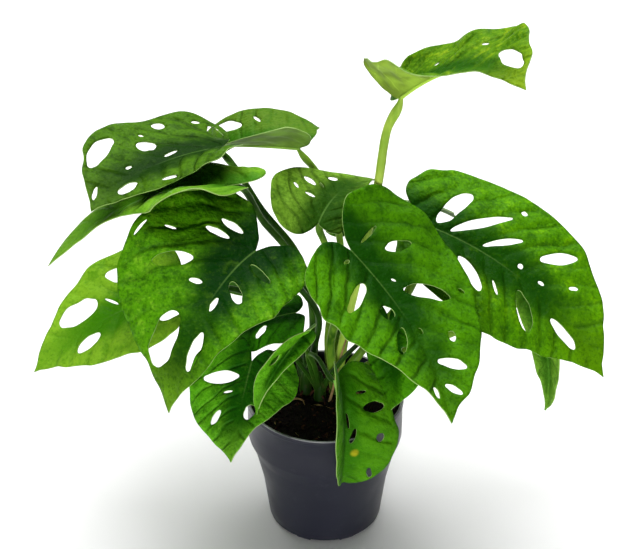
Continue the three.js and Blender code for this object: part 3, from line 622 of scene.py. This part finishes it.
def blade_point(item, u, v, half):
    """The blade's middle face at u along the midrib and v across it."""
    t = clamp(u / item["length"])
    x = t * SPINE_STEPS
    i = min(int(x), SPINE_STEPS - 1)
    a, b = item["spine"][i], item["spine"][i + 1]
    point = a[0].lerp(b[0], x - i)
    tangent = a[1].lerp(b[1], x - i)
    side = a[2].lerp(b[2], x - i).normalized()
    normal = a[3].lerp(b[3], x - i).normalized()
    opened = 1 - (1 - t) ** item["unfold"]
    rise = math.radians(between(item["fold"][half * 2:half * 2 + 2], opened))
    turn = math.radians(item["curl"][half] or 0.001) / item["width"][half]
    end = rise + turn * abs(v)
    across = (math.sin(end) - math.sin(rise)) / turn
    lift = -(math.cos(end) - math.cos(rise)) / turn
    point = point + side * (across if half == 0 else -across) + normal * lift
    period, start = item["wave"][2:]
    swing = item["wave"][half] * (abs(v) / item["width"][half]) ** 1.5
    swing *= math.sin(2 * math.pi * (u - start) / period)
    point += normal * swing * math.cos(end)
    point += side * swing * (-1 if half == 0 else 1) * math.sin(end)
    over = u - t * item["length"]
    if over < 0 and item["nape"]:
        bend = math.radians(item["nape"]) / max(item["lobe"])
        angle = -bend * over
        point = point - tangent * (math.sin(angle) / bend) + normal * ((1 - math.cos(angle)) / bend)
    else:
        point = point + tangent * over
    return point


def blade_normal(item, u, v):
    """The way that the blade's top faces, on the midrib that of both halves."""
    total = Vector((0, 0, 0))
    step = 0.05
    for half in ((0, 1) if v == 0 else (0 if v > 0 else 1,)):
        sign = 1 if half == 0 else -1
        along = blade_point(item, u + step, v, half) - blade_point(item, u - step, v, half)
        outward = blade_point(item, u, sign * (abs(v) + step), half) - blade_point(item, u, v, half)
        total += along.cross(outward * sign).normalized()
    return total.normalized()


def spline(points, steps):
    """Uniform Catmull-Rom curve with its end points doubled."""
    out = []
    last = len(points) - 1
    for i in range(last):
        p0, p1 = points[max(i - 1, 0)], points[i]
        p2, p3 = points[i + 1], points[min(i + 2, last)]
        for k in range(steps):
            t = k / steps
            out.append(tuple(
                0.5 * (2 * b + (c - a) * t + (2 * a - 5 * b + 4 * c - d) * t * t
                       + (3 * b - a - 3 * c + d) * t ** 3)
                for a, b, c, d in zip(p0, p1, p2, p3)))
    out.append(tuple(points[-1]))
    return out


def half_outline(item, half):
    """The even outline of one half, from the base round the lobe to the tip."""
    points = []
    for u, v in HALF_OUTLINE:
        reach = clamp((u - 0.3) / 0.7)
        narrow = 1 - item["waist"][half] * math.sin(math.pi * reach)
        along = u * (item["lobe"][half] if u < 0 else item["length"])
        points.append((along, (v if half == 0 else -v) * item["width"][half] * narrow))
    return spline(points, 12)


def ragged(ring, item):
    """Gives a margin the slight irregular wave of a real blade."""
    out = []
    for u, v in ring:
        size = clamp(abs(v) / 8)
        seed = Vector((u * 0.06 + item["length"], v * 0.06, item["base"][2] * 0.1))
        fine = Vector((u * 0.13, v * 0.13, item["base"][0]))
        out.append((u + size * (RAGGED * noise.noise(seed) + 0.4 * noise.noise(fine)),
                    v + size * (RAGGED * noise.noise(seed + Vector((7, 3, 1)))
                                + 0.4 * noise.noise(fine + Vector((2, 5, 8))))))
    return out


def slit(hole):
    """A hole between two side veins: a lens with uneven sides."""
    u1, v1, u2, v2, width = hole
    length = math.hypot(u2 - u1, v2 - v1)
    ex, ey = (u2 - u1) / length, (v2 - v1) / length
    count = max(12, int((length + width) * 1.1))
    lean = 0.3 * noise.noise(Vector((u1, v1, 3.1)))
    ring = []
    for i in range(count):
        a = 2 * math.pi * i / count
        c, s = math.cos(a), math.sin(a)
        p = math.copysign(abs(c) ** 0.9, c) * length / 2 * 1.04
        q = math.copysign(abs(s) ** 0.85, s) * width / 2 * (1 - 0.22 * c * c + lean * c)
        wave = 1 + 0.3 * noise.noise(Vector((u1 + 1.6 * c, v1 + 1.6 * s, 0.5)))
        ring.append(((u1 + u2) / 2 + (ex * p - ey * q * wave),
                     (v1 + v2) / 2 + (ey * p + ex * q * wave)))
    return ring


def is_inside(point, ring):
    x, y = point
    inside = False
    for (xi, yi), (xj, yj) in zip(ring, ring[-1:] + ring[:-1]):
        if (yi > y) != (yj > y) and x < (xj - xi) * (y - yi) / (yj - yi) + xi:
            inside = not inside
    return inside


def crossings(rings, v):
    """Where the line at height v enters and leaves the blade."""
    found = []
    for ring in rings:
        for (ax, ay), (bx, by) in zip(ring, ring[1:] + ring[:1]):
            if (ay > v) != (by > v):
                found.append(ax + (bx - ax) * (v - ay) / (by - ay))
    return sorted(found)


def margin_finder(rings):
    """A tree of margin points, to ask how far the nearest margin is."""
    dots = []
    for ring in rings:
        for (ax, ay), (bx, by) in zip(ring, ring[1:] + ring[:1]):
            dots += [(ax, ay, 0), ((ax + bx) / 2, (ay + by) / 2, 0)]
    tree = kdtree.KDTree(len(dots))
    for i, dot in enumerate(dots):
        tree.insert(dot, i)
    tree.balance()
    return tree


def relief(item, u, v, edge):
    """Height of the quilted blade over its smooth middle face."""
    seed = Vector((u, v, item["length"]))
    spacing = item["spacing"]
    wobble = 5 * noise.noise(seed * 0.03)
    start = u - VEIN_SWEEP * abs(v) ** 1.15 + wobble + (spacing * 0.4 if v > 0 else 0)
    swell = math.sin(math.pi * ((start / spacing) % 1)) ** 0.8
    inner = clamp((abs(v) - 1) / 9) * clamp(edge / 6)
    bulge = item["bulge"] * inner * (swell - 0.55) + 0.6 * inner * noise.noise(seed * 0.12)
    trough = -0.6 * clamp(1 - abs(v) / 5)
    part = clamp(abs(v) / max(item["width"]))
    place = Vector((u * 0.045, item["base"][0], v * 0.03))
    return bulge + trough + item["ripple"] * part ** 2 * noise.noise(place)


def blade_net(rings, reach, margins):
    """Triangles between the rings, from an even net of points inside them."""
    points, edges = [], []
    for ring in rings:
        first = len(points)
        points += ring
        edges += [(first + i, first + (i + 1) % len(ring)) for i in range(len(ring))]
    rows = int(reach * 2 / (NET * NET_ROW)) + 4
    for row in range(-rows // 2, rows // 2 + 1):
        v = row * NET * NET_ROW
        cuts = crossings(rings, v + 1e-4)
        for enter, leave in zip(cuts[::2], cuts[1::2]):
            first = math.ceil(enter / NET - (row % 2) / 2)
            last = math.floor(leave / NET - (row % 2) / 2)
            for step in range(first, last + 1):
                u = (step + (row % 2) / 2) * NET
                if margins.find((u, v, 0))[2] > NET * 0.45:
                    points.append((u, v))
    net = delaunay_2d_cdt([Vector(p) for p in points], edges, [], 1, 1e-5)
    return [tuple(p) for p in net[0]], net[2]


def outside_holes(flat, faces, holes):
    """The faces whose middle lies in none of the holes."""
    boxes = [(min(p[0] for p in h), max(p[0] for p in h), min(p[1] for p in h),
              max(p[1] for p in h), h) for h in holes]
    kept = []
    for face in faces:
        x, y = (sum(flat[i][k] for i in face) / 3 for k in (0, 1))
        if not any(a < x < b and c < y < d and is_inside((x, y), h) for a, b, c, d, h in boxes):
            kept.append(face)
    return kept


def make_rib(item, material):
    """The rib that stands out under the midrib and thins towards the tip."""
    path, radii = [], []
    for i in range(SPINE_STEPS + 1):
        t = i / SPINE_STEPS
        u = 1 + (item["length"] * RIB_END - 1) * t
        radii.append(item["rib_radius"] * (1 - 0.75 * t))
        drop = 0.6 + 0.75 * radii[-1]
        path.append(blade_point(item, u, 0, 0) - blade_normal(item, u, 0) * drop)
    return strand(item["name"] + "_rib", path, radii, material)


def make_leaf(item):
    """One pierced blade with its relief, its thickness and the rib under it."""
    look, name, length = item["look"], item["name"], item["length"]
    build = LONG_LEAF if length > LONG_FROM else SHORT_LEAF
    item.update({key: look.get(key, value) for key, value in build.items()})
    outline = ragged(half_outline(item, 0) + half_outline(item, 1)[::-1][1:-1], item)
    holes = [slit(hole) for hole in item["holes"]]
    rings = [outline] + holes
    margins = margin_finder(rings)
    reach = max(item["width"])
    flat, faces = blade_net(rings, reach, margins)
    kept = outside_holes(flat, faces, holes)
    used = sorted({i for face in kept for i in face})
    index = {p: i for i, p in enumerate(used)}
    vertices, along, across = [], [], []
    for p in used:
        u, v = flat[p]
        v = 0 if abs(v) < 1e-6 else v
        middle = blade_point(item, u, v, 0 if v >= 0 else 1)
        height = relief(item, u, v, margins.find((u, v, 0))[2])
        vertices.append(middle + blade_normal(item, u, v) * height)
        along.append(u)
        across.append(v)
    finishes = [blade_top(name + "_face", look, item["spacing"], length, reach),
                blade_under(name + "_back", look, item["spacing"], reach), margin_green]
    blade = make_object(name + "_blade", vertices,
                        [tuple(index[i] for i in face) for face in kept], finishes)
    first = blade.data.polygons[0]
    if first.normal.dot(blade_normal(item, *flat[used[first.vertices[0]]])) < 0:
        blade.data.flip_normals()
    add_attribute(blade, "along", along)
    add_attribute(blade, "across", across)
    apply(blade, "SOLIDIFY", thickness=BLADE_THICKNESS * MM, offset=0.0, use_even_offset=False,
          material_offset=1, material_offset_rim=2)
    pick(make_rib(item, finishes[1]), blade)
    bpy.ops.object.join()
    finish_piece(blade, leaf_slot(name), name)


def leaf_slot(name):
    if name in ("leaf_top", "leaf_low_left"):
        return "leaf_light"
    shaded = ("upper_left", "center", "back_", "inner")
    return "leaf_dark" if any(word in name for word in shaded) else "leaf"


# ------------------------------------------------------------------- stalks
def centripetal(points, count):
    """Evenly spaced points on a centripetal Catmull-Rom curve through the given ones."""
    points = [Vector(p) for p in points]
    ends = [points[0] * 2 - points[1]] + points + [points[-1] * 2 - points[-2]]
    dense, steps = [], 24
    for i in range(len(points) - 1):
        p0, p1, p2, p3 = ends[i:i + 4]
        d0, d1, d2 = ((b - a).length ** 0.5 for a, b in ((p0, p1), (p1, p2), (p2, p3)))
        m1 = ((p1 - p0) / d0 - (p2 - p0) / (d0 + d1) + (p2 - p1) / d1) * d1
        m2 = ((p2 - p1) / d1 - (p3 - p1) / (d1 + d2) + (p3 - p2) / d2) * d1
        for k in range(steps):
            t = k / steps
            dense.append(p1 * (2 * t ** 3 - 3 * t * t + 1) + p2 * (3 * t * t - 2 * t ** 3)
                         + m1 * (t ** 3 - 2 * t * t + t) + m2 * (t ** 3 - t * t))
    dense.append(points[-1])
    run = [0.0]
    for a, b in zip(dense, dense[1:]):
        run.append(run[-1] + (b - a).length)
    out, j = [], 0
    for k in range(count + 1):
        want = run[-1] * k / count
        while j < len(run) - 2 and run[j + 1] < want:
            j += 1
        share = (want - run[j]) / max(run[j + 1] - run[j], 1e-9)
        out.append(dense[j].lerp(dense[j + 1], share))
    return out


def stalk_end(item):
    """The last two points of a stalk, where it bends up to its blade."""
    normal = blade_normal(item, 3, 0)
    blade = blade_point(item, 3, 0, 0)
    tangent = item["spine"][0][1]
    incoming = (blade - Vector(item["via"][-1])).normalized()
    arrive = (normal * 0.8 + tangent * 0.6 + incoming * 1.5).normalized()
    end = blade - normal * (BLADE_THICKNESS / 2 + 1.0)
    return [end - arrive * 6, end]


def strand(name, path, radii, material, smooth_sides=3):
    """A round tapering strand along a path, from a bevelled curve."""
    curve = bpy.data.curves.new(name, "CURVE")
    curve.dimensions = "3D"
    curve.bevel_depth = MM
    curve.bevel_resolution = smooth_sides
    curve.use_fill_caps = True
    line = curve.splines.new("POLY")
    line.points.add(len(path) - 1)
    for dot, place, radius in zip(line.points, path, radii):
        dot.co = (place[0] * MM, place[1] * MM, place[2] * MM, 1)
        dot.radius = radius
    made = bpy.data.objects.new(name, curve)
    bpy.context.collection.objects.link(made)
    pick(made)
    bpy.ops.object.convert(target="MESH")
    made = bpy.context.object
    bpy.ops.object.mode_set(mode="EDIT")
    face_outwards()
    bpy.ops.object.shade_smooth()
    made.data.materials.clear()
    made.data.materials.append(material)
    return made


def grown(name, rings, sides, material):
    """A disc that is extruded and resized ring by ring, each (radius, height)."""
    (radius, height), rest = rings[0], rings[1:]
    deselect()
    bpy.ops.mesh.primitive_circle_add(vertices=sides, radius=radius * MM, fill_type="NGON",
                                      location=(0, 0, height * MM))
    made = bpy.context.object
    made.name = name
    bpy.ops.object.transform_apply(location=True, rotation=False, scale=False)
    bpy.ops.object.mode_set(mode="EDIT")
    bpy.ops.mesh.select_mode(type="FACE")
    bpy.ops.mesh.select_all(action="SELECT")
    for r, z in rest:
        bpy.ops.mesh.extrude_region_move(
            TRANSFORM_OT_translate={"value": (0, 0, (z - height) * MM)})
        bpy.ops.transform.resize(value=(r / radius, r / radius, 1),
                                 center_override=(0, 0, z * MM))
        radius, height = r, z
    face_outwards()
    made.data.materials.append(material)
    return made


def make_crown(name, foot, material):
    """The thick foot of a stem, closed by the sheaths of its stalks."""
    crown = grown(name, [(radius, SOIL_TOP + z) for radius, z in CROWN], 20, material)
    for dot in crown.data.vertices:
        rough = 1 + 0.1 * noise.noise(dot.co * 160 + Vector((*foot, 0)))
        dot.co.x, dot.co.y = dot.co.x * rough + foot[0] * MM, dot.co.y * rough + foot[1] * MM
    pick(crown)
    bpy.ops.object.shade_smooth()
    return crown


def make_stalk(name, item, foot, thick, thin, material):
    """One leaf's stalk, swollen at its foot and just under the blade."""
    path = centripetal([(foot[0], foot[1], SOIL_TOP - STEM_DEPTH + 6),
                        (foot[0], foot[1], SOIL_TOP + 3), *item["via"], *stalk_end(item)], 64)
    radii = []
    for i, place in enumerate(path):
        t = i / (len(path) - 1)
        radius = thick + (thin - thick) * math.sqrt(t)
        radius *= 1 + 0.14 * math.exp(-((t - 0.95) / 0.02) ** 2)
        radius *= 1 + 0.3 * math.exp(-((t - 0.1) / 0.12) ** 2)
        radius *= 1 + 0.05 * noise.noise(place * 0.09)
        radii.append(radius * (1 - 0.55 * clamp((t - 0.965) / 0.035)))
    return strand(name, path, radii, material)


def crown_root(name, foot, drop):
    """A short root that leaves the crown and dives into the soil."""
    turn = rng.uniform(0, 2 * math.pi)
    out = Vector((math.cos(turn), math.sin(turn), 0))
    start = Vector((*foot, SOIL_TOP + 6 - drop))
    path = centripetal([start + out * 3, start + out * 6 - Vector((0, 0, 1)),
                        start + out * 8 - Vector((0, 0, 5)),
                        start + out * 8.6 - Vector((0, 0, 10))], 8)
    return strand(name, path, [1.1 - 0.06 * i for i in range(9)], bark, 1)


def make_stem(name, foot, thick, thin, green):
    """The crown with the stalks of its leaves and a few roots."""
    parts = []
    for n, item in enumerate(entry for entry in LEAVES if entry["stem"] == name):
        finish = stalk_finishes[item["look"].get("stalk", green)]
        parts.append(make_stalk(f"{name}_stalk_{n}", item, foot, thick, thin, finish))
    parts += [crown_root(f"{name}_root_{n}", foot, n) for n in range(CROWN_ROOTS)]
    if name == "stem_front":
        path = centripetal(DRY_STALK, 24)
        parts.append(strand("dry_stalk", path, [1.2 - 0.025 * i for i in range(25)], fibre, 2))
    stalks = make_crown(name + "_stalks", foot, stalk_finishes[green])
    pick(*parts, stalks)
    bpy.ops.object.join()
    finish_piece(stalks, "stem", name)


# ---------------------------------------------------------------------- pot
def wall_radius(z):
    """The pot's outer radius at a height."""
    marks = [(0, BASE_RADIUS), (MIDDLE_HEIGHT, MIDDLE_RADIUS), (STEP_BOTTOM, STEP_RADIUS),
             (BAND_BOTTOM, BAND_RADIUS), (POT_HEIGHT, LIP_RADIUS - 0.6)]
    for (z0, r0), (z1, r1) in zip(marks, marks[1:]):
        if z <= z1:
            return r0 + (r1 - r0) * (z - z0) / (z1 - z0)


def cut_out(pot, cutter):
    apply(pot, "BOOLEAN", operation="DIFFERENCE", object=cutter, solver="EXACT")
    bpy.data.objects.remove(cutter)


def cut_foot_slot(pot, angle):
    deselect()
    bpy.ops.mesh.primitive_cube_add(size=1)
    cutter = bpy.context.object
    cutter.dimensions = [side * MM for side in FOOT_SLOT]
    away = FOOT_SLOT_AT * MM
    cutter.location = (away * math.sin(angle), -away * math.cos(angle), 0)
    cutter.rotation_euler = (0, 0, angle)
    bpy.ops.object.transform_apply(location=True, rotation=True, scale=True)
    apply(cutter, "BEVEL", width=0.7 * MM, segments=3)
    cut_out(pot, cutter)


def cut_drain_hole(pot, angle):
    deselect()
    away = DRAIN_AT * MM
    bpy.ops.mesh.primitive_cylinder_add(
        vertices=32, radius=DRAIN_RADIUS * MM, depth=20 * MM,
        location=(away * math.cos(angle), away * math.sin(angle), 0))
    cutter = bpy.context.object
    bpy.ops.object.transform_apply(location=True, rotation=True, scale=True)
    cut_out(pot, cutter)


def make_pot(material):
    """A thin shell with a flared step, a band and a lip, its foot slotted and pierced."""
    lip_bottom = POT_HEIGHT - LIP_HEIGHT
    outer = [(BASE_RADIUS - 2.4, 0), (BASE_RADIUS - 1.0, 0.4), (BASE_RADIUS - 0.2, 1.3)]
    outer += [(wall_radius(z), z) for z in (3, 12, 25, MIDDLE_HEIGHT, 50)]
    outer += [(STEP_RADIUS - 0.1, STEP_BOTTOM - 1.5), (STEP_RADIUS + 0.5, STEP_BOTTOM + 1.2),
              (BAND_RADIUS - 0.6, BAND_BOTTOM - 1.6), (BAND_RADIUS + 0.05, BAND_BOTTOM + 1.2),
              (wall_radius(92), 92), (wall_radius(107) - 0.1, lip_bottom - 0.8),
              (LIP_RADIUS - 0.25, lip_bottom), (LIP_RADIUS, lip_bottom + 0.7),
              (LIP_RADIUS, POT_HEIGHT - 1), (LIP_RADIUS - 0.3, POT_HEIGHT - 0.2),
              (LIP_RADIUS - 1.0, POT_HEIGHT)]
    inner = [(LIP_RADIUS - 1.9, POT_HEIGHT - 0.2), (LIP_RADIUS - 2.4, POT_HEIGHT - 1)]
    inner += [(wall_radius(z) - WALL, z) for z in (106, 92, BAND_BOTTOM, STEP_BOTTOM,
                                                   MIDDLE_HEIGHT, FLOOR)]
    pot = grown("nursery_pot", outer + inner, 128, material)
    for i in range(FOOT_SLOTS):
        cut_foot_slot(pot, 2 * math.pi * i / FOOT_SLOTS)
    for i in range(DRAIN_HOLES):
        cut_drain_hole(pot, 2 * math.pi * (i + 0.5) / DRAIN_HOLES)
    pick(pot)
    bpy.ops.object.shade_smooth_by_angle(angle=math.radians(38))
    finish_piece(pot, "pot_plastic", "pot")


# --------------------------------------------------------------------- soil
def soil_height(x, y):
    """Height of the lumpy soil, which falls off towards the pot's wall."""
    edge = wall_radius(SOIL_EDGE) - WALL - 0.2
    slope = (SOIL_TOP - SOIL_EDGE) * clamp((math.hypot(x, y) - edge + 12) / 12)
    lump = 1.6 * noise.noise(Vector((x, y, 0)) * 0.09)
    grain = noise.noise(Vector((x, y, 9)) * 0.4)
    return SOIL_TOP - slope + lump + grain


def scattered(pattern, count, sizes, lift):
    """Copies of one small shape, strewn over the soil, each with its own mesh."""
    made = []
    edge = wall_radius(SOIL_EDGE) - WALL - 3
    for _ in range(count):
        r, a = edge * math.sqrt(rng.random()), rng.random() * 2 * math.pi
        x, y = r * math.cos(a), r * math.sin(a)
        bit = pattern.copy()
        bit.data = pattern.data.copy()
        bpy.context.collection.objects.link(bit)
        size = rng.uniform(*sizes)
        bit.scale = (size, size * rng.uniform(0.6, 1), size * rng.uniform(0.5, 0.9))
        bit.rotation_euler = (rng.uniform(-0.5, 0.5), rng.uniform(-0.5, 0.5), rng.random() * 6.28)
        bit.location = Vector((x, y, soil_height(x, y) + lift)) * MM
        made.append(bit)
    pick(*made)
    bpy.ops.object.transform_apply(location=True, rotation=True, scale=True)
    bpy.data.objects.remove(pattern)
    return made


def chip(radius, squash, material):
    """One rough bit of the soil, to be strewn."""
    deselect()
    bpy.ops.mesh.primitive_ico_sphere_add(subdivisions=1, radius=radius * MM)
    made = bpy.context.object
    for dot in made.data.vertices:
        dot.co *= 1 + 0.35 * noise.noise(dot.co * 900)
    bpy.ops.object.mode_set(mode="EDIT")
    bpy.ops.mesh.select_all(action="SELECT")
    bpy.ops.transform.resize(value=squash)
    bpy.ops.object.mode_set(mode="OBJECT")
    made.data.materials.append(material)
    return made


def bare_root(name, x, y, turn):
    """A root that shows on the soil and dips into it at both ends."""
    side = Vector((math.cos(turn), math.sin(turn), 0)) * 4.5
    middle = Vector((x, y, soil_height(x, y) + 1.2))
    path = centripetal([middle - side - Vector((0, 0, 1)), middle - side * 0.4,
                        middle + side * 0.4, middle + side - Vector((0, 0, 1.5))], 10)
    return strand(name, path, [0.9 - 0.03 * i for i in range(11)], fibre, 1)


def make_soil(material):
    """A lumpy surface strewn with crumbs, bark flakes, shreds and bare roots."""
    edge = wall_radius(SOIL_EDGE) - WALL - 0.2
    rings = [(edge - 3, BAND_BOTTOM + 6), (edge, SOIL_EDGE)]
    rings += [(edge * (1 - i / 20), SOIL_TOP) for i in range(1, 20)]
    soil = grown("potting_soil", rings, 72, material)
    bpy.ops.object.mode_set(mode="EDIT")
    bpy.ops.mesh.poke()
    bpy.ops.mesh.select_all(action="SELECT")
    bpy.ops.mesh.subdivide(number_cuts=2)
    bpy.ops.object.mode_set(mode="OBJECT")
    for dot in soil.data.vertices:
        if dot.co.z > (SOIL_EDGE - 0.01) * MM:
            x, y = dot.co.x / MM, dot.co.y / MM
            grit = 0.7 * noise.noise(Vector((x, y, 4)))
            dot.co.z = (soil_height(x, y) + grit) * MM
    pick(soil)
    bpy.ops.object.shade_smooth()
    crumb = chip(1, (1, 1, 1), material)
    bits = scattered(crumb, count=420, sizes=(0.6, 1.7), lift=0.3)
    flake = chip(1.4, (1.5, 0.9, 0.5), bark)
    bits += scattered(flake, count=130, sizes=(0.7, 1.6), lift=0.4)
    shred = chip(1, (3.4, 0.45, 0.4), fibre)
    bits += scattered(shred, count=26, sizes=(0.6, 1.2), lift=0.9)
    bits += [bare_root(f"bare_root_{n}", *where) for n, where in enumerate(BARE_ROOTS)]
    pick(*bits, soil)
    bpy.ops.object.join()
    finish_piece(soil, "soil", "soil")


# ----------------------------------------------------------------- assembly
margin_green = blade_edge()
bark = bark_chip()
fibre = root_fibre()
for item in LEAVES:
    item["spine"] = spine_of(item)
    make_leaf(item)

stalk_finishes = {name: stalk_green(f"stalk_{name}", *greens)
                  for name, greens in STALK_GREENS.items()}
for name, stem in STEMS.items():
    make_stem(name, **stem)

make_pot(pot_plastic())
make_soil(potting_mix())


# ---------------------------------------------------------- floor and light
def make_floor():
    deselect()
    bpy.ops.mesh.primitive_plane_add(size=14)
    floor = bpy.context.object
    floor.name = "floor"
    f = Finish("pale_floor")
    floor.data.materials.append(f.finish(linear((250, 250, 250)), 0.9, 0.1))


def area_light(name, at, toward, size, power):
    data = bpy.data.lights.new(name, "AREA")
    data.shape = "DISK"
    data.size = size
    data.energy = power
    lamp = bpy.data.objects.new(name, data)
    bpy.context.collection.objects.link(lamp)
    lamp.location = at
    lamp.rotation_euler = (Vector(toward) - Vector(at)).to_track_quat("-Z", "Y").to_euler()


def even_light(strength):
    scene = bpy.context.scene
    scene.world = scene.world or bpy.data.worlds.new("studio")
    scene.world.use_nodes = True
    background = scene.world.node_tree.nodes["Background"]
    background.inputs["Color"].default_value = (1, 1, 1, 1)
    background.inputs["Strength"].default_value = strength


make_floor()
even_light(0.05)
area_light("sky", at=(0, 0.7, 2.2), toward=(0, 0, 0.1), size=3.1, power=110)
area_light("front", at=(-0.5, -2.4, 0.35), toward=(0, 0, 0.18), size=0.6, power=37)
bpy.context.scene.view_settings.view_transform = "Standard"
bpy.context.scene.view_settings.look = "None"
